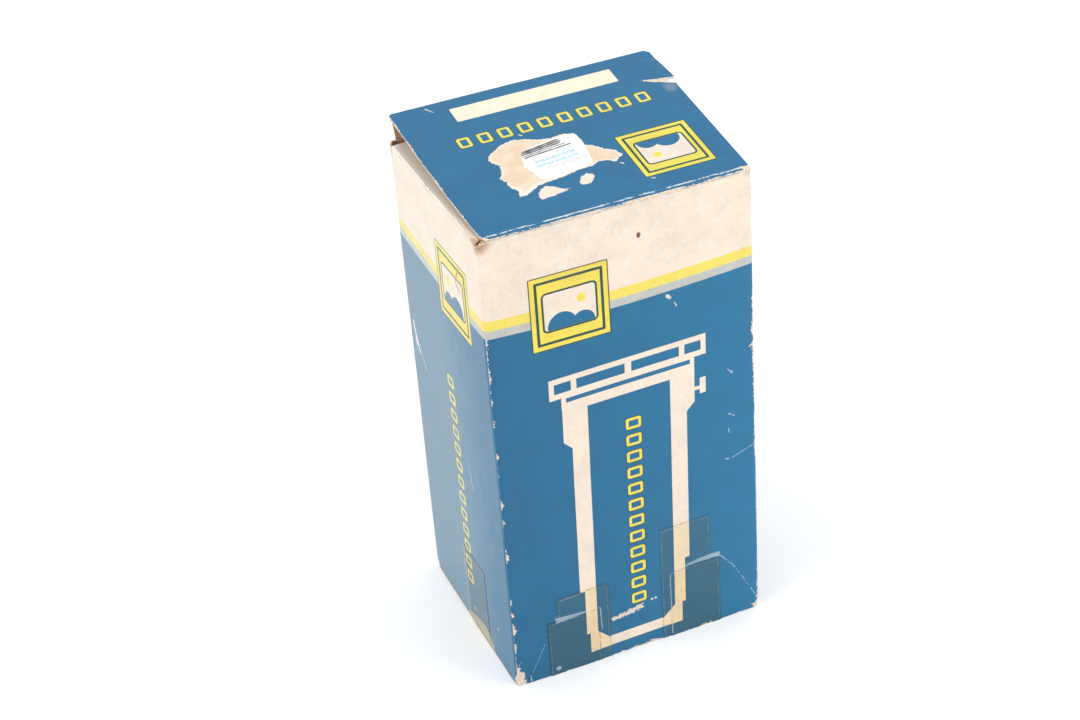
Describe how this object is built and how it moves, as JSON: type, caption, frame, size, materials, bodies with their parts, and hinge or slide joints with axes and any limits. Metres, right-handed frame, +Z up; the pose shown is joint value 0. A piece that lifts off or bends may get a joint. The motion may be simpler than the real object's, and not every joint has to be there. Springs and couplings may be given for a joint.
{
  "type": "boxed slide duplicator",
  "caption": "Tuck-end printed carton with a hinged lid and dust flaps, holding a tubular slide duplicator with lens, sliding tube, turning head and slide stage.",
  "frame": {"origin": "centre of the carton's footprint, on the face it stands on", "axes": "+Z up, +X to the right and -Y to the front as the printed front panel is seen"},
  "size_m": [0.0731, 0.0602, 0.1456],
  "materials": {
    "printed_board": "printed coated board",
    "cream_board": "printed coated board",
    "bare_board": "bare grey-brown board",
    "clear_tape": "aged clear tape",
    "paper": "paper",
    "foam": "expanded foam",
    "black_anodised": "black anodised",
    "satin_metal": "satin",
    "steel": "plated",
    "lens_glass": "coated",
    "felt": "black felt",
    "opal": "opal acrylic"
  },
  "bodies": {
    "carton": {"front_panel": "printed_board", "right_panel": "printed_board", "back_panel": "printed_board", "left_panel": "printed_board", "glue_flap": "bare_board", "bottom_panel": "printed_board", "bottom_tuck_flap": "bare_board", "bottom_dust_flaps": "bare_board", "front_left_tape": "clear_tape", "front_left_tape_patch": "clear_tape", "front_right_tape": "clear_tape", "front_right_tape_patch": "clear_tape", "left_side_tape": "clear_tape", "foam_cradle": "foam", "foam_collar": "foam", "camera_thread_ring": "satin_metal", "draw_tube": "black_anodised", "lens_cell": "black_anodised", "rear_lens": "lens_glass", "front_lens": "lens_glass", "aperture_stop": "black_anodised", "lens_lock_ring": "satin_metal"},
    "lid": {"lid_panel": "printed_board", "stock_label": "paper", "price_sticker": "paper"},
    "tuck_flap": {"lid_tuck_flap": "bare_board"},
    "left_dust_flap": {"left_dust_flap": "cream_board"},
    "right_dust_flap": {"right_dust_flap": "cream_board"},
    "tube_assembly": {"main_tube": "black_anodised", "felt_linings": "felt", "glare_baffle": "black_anodised"},
    "head": {"head_collar": "black_anodised", "head_screws": "steel", "stage_plate": "black_anodised", "stage_rails": "black_anodised", "slide_springs": "steel", "diffuser_frame": "black_anodised", "diffuser": "opal", "stage_screws": "steel"},
    "lock_screw": {"lock_screw": "satin_metal"}
  },
  "joints": [
    {"name": "lid_open", "type": "hinge", "parent": "carton", "child": "lid", "pos_m": [0, -0.03, 0.138], "axis": [1, 0, 0], "range_deg": [-7.3, 185]},
    {"name": "tuck_flap_fold", "type": "hinge", "parent": "lid", "child": "tuck_flap", "pos_m": [0, 0.02841, 0.14559], "axis": [1, 0, 0], "range_deg": [-2, 47]},
    {"name": "left_dust_flap_fold", "type": "hinge", "parent": "carton", "child": "left_dust_flap", "pos_m": [-0.0365, 0, 0.13735], "axis": [0, -1, 0], "range_deg": [-3.7, 92.6]},
    {"name": "right_dust_flap_fold", "type": "hinge", "parent": "carton", "child": "right_dust_flap", "pos_m": [0.0365, 0, 0.13735], "axis": [0, 1, 0], "range_deg": [-3.7, 92.6]},
    {"name": "focus_slide", "type": "slide", "parent": "carton", "child": "tube_assembly", "axis": [0, 0, 1], "range_m": [-0.006, 0.003]},
    {"name": "head_turn", "type": "hinge", "parent": "tube_assembly", "child": "head", "pos_m": [0, 0, 0.114], "axis": [0, 0, 1], "range_deg": [-6, 6]},
    {"name": "lock_screw_turn", "type": "hinge", "parent": "head", "child": "lock_screw", "pos_m": [0.03, 0, 0.10172], "axis": [1, 0, 0], "continuous": true}
  ],
  "couplings": [
    {"joint": "left_dust_flap_fold", "follows": "lid_open", "ratio": 0.5},
    {"joint": "right_dust_flap_fold", "follows": "lid_open", "ratio": 0.5},
    {"joint": "tuck_flap_fold", "follows": "lid_open", "ratio": 0.25}
  ]
}
